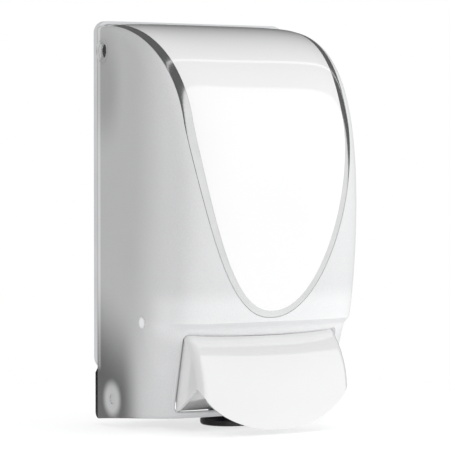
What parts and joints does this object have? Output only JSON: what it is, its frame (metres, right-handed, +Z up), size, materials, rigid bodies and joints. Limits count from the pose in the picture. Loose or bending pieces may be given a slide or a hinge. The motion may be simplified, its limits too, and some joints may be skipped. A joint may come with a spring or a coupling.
{
  "type": "wall mounted soap dispenser",
  "caption": "Manual wall soap dispenser with a drop-down frosted cover, glossy front panel, bright trim and a white push bar that lifts a foam pump under a refill bottle.",
  "frame": {"origin": "on the wall plane, level with the middle of the four wall screws and midway between them", "axes": "+Z up, +Y into the wall, +X to the right of a person facing the dispenser; the front faces -Y"},
  "size_m": [0.1312, 0.1045, 0.238],
  "materials": {
    "plate_white": "satin white moulding",
    "inner_white": "satin off-white moulding",
    "refill": "milky bottle",
    "cap_white": "satin white cap with grips",
    "steel": "drawn wire and turned pins",
    "frosted_shell": "frosted light grey, fine grain",
    "gloss_white": "polished white",
    "bright_trim": "bright plated strip",
    "lever_blue": "satin blue moulding",
    "nozzle_black": "satin black moulding",
    "button_white": "smooth white"
  },
  "bodies": {
    "wall_unit": {"wall_plate": "plate_white", "refill_shelf": "inner_white", "shelf_screws": "steel", "soap_bottle": "refill", "bottle_cap": "cap_white", "pump_body": "inner_white", "lever_pin": "steel", "hinge_pin_left": "steel", "hinge_pin_right": "steel", "pump_spring": "steel", "release_spring_left": "steel", "release_spring_right": "steel"},
    "cover": {"cover_shell": "frosted_shell", "cover_catch_left": "frosted_shell", "cover_catch_right": "frosted_shell", "front_panel": "gloss_white", "trim_strip": "bright_trim", "bar_spring_left": "steel", "bar_spring_right": "steel"},
    "push_bar": {"push_bar": "gloss_white", "bar_carrier": "inner_white", "bar_pin_left": "steel", "bar_pin_right": "steel"},
    "lever": {"actuator_lever": "lever_blue"},
    "piston": {"pump_piston": "inner_white", "foam_nozzle": "nozzle_black"},
    "button_left": {"release_button_left": "button_white"},
    "button_right": {"release_button_right": "button_white"}
  },
  "joints": [
    {"name": "cover_hinge", "type": "hinge", "parent": "wall_unit", "child": "cover", "pos_m": [0, -0.0232, -0.1045], "axis": [1, 0, 0], "range_deg": [0, 95]},
    {"name": "push_bar_pivot", "type": "hinge", "parent": "cover", "child": "push_bar", "pos_m": [0, -0.06, -0.0575], "axis": [1, 0, 0], "range_deg": [0, 10], "stiffness_Nm_per_rad": 0.4, "springref_deg": -17.19, "deforming": ["bar_spring_left", "bar_spring_right"]},
    {"name": "lever_pivot", "type": "hinge", "parent": "wall_unit", "child": "lever", "pos_m": [0, -0.074, -0.0755], "axis": [1, 0, 0], "range_deg": [0, 18]},
    {"name": "piston_slide", "type": "slide", "parent": "wall_unit", "child": "piston", "axis": [0, 0, 1], "range_m": [0, 0.0094], "deforming": ["pump_spring"]},
    {"name": "release_left", "type": "slide", "parent": "wall_unit", "child": "button_left", "axis": [1, 0, 0], "range_m": [0, 0.004], "stiffness_N_per_m": 200, "springref_m": -0.002, "deforming": ["release_spring_left"]},
    {"name": "release_right", "type": "slide", "parent": "wall_unit", "child": "button_right", "axis": [-1, 0, 0], "range_m": [0, 0.004], "stiffness_N_per_m": 200, "springref_m": -0.002, "deforming": ["release_spring_right"]}
  ],
  "couplings": [
    {"joint": "lever_pivot", "follows": "push_bar_pivot", "ratio": 1.8},
    {"joint": "piston_slide", "follows": "push_bar_pivot", "m_per_rad": 0.05388}
  ]
}
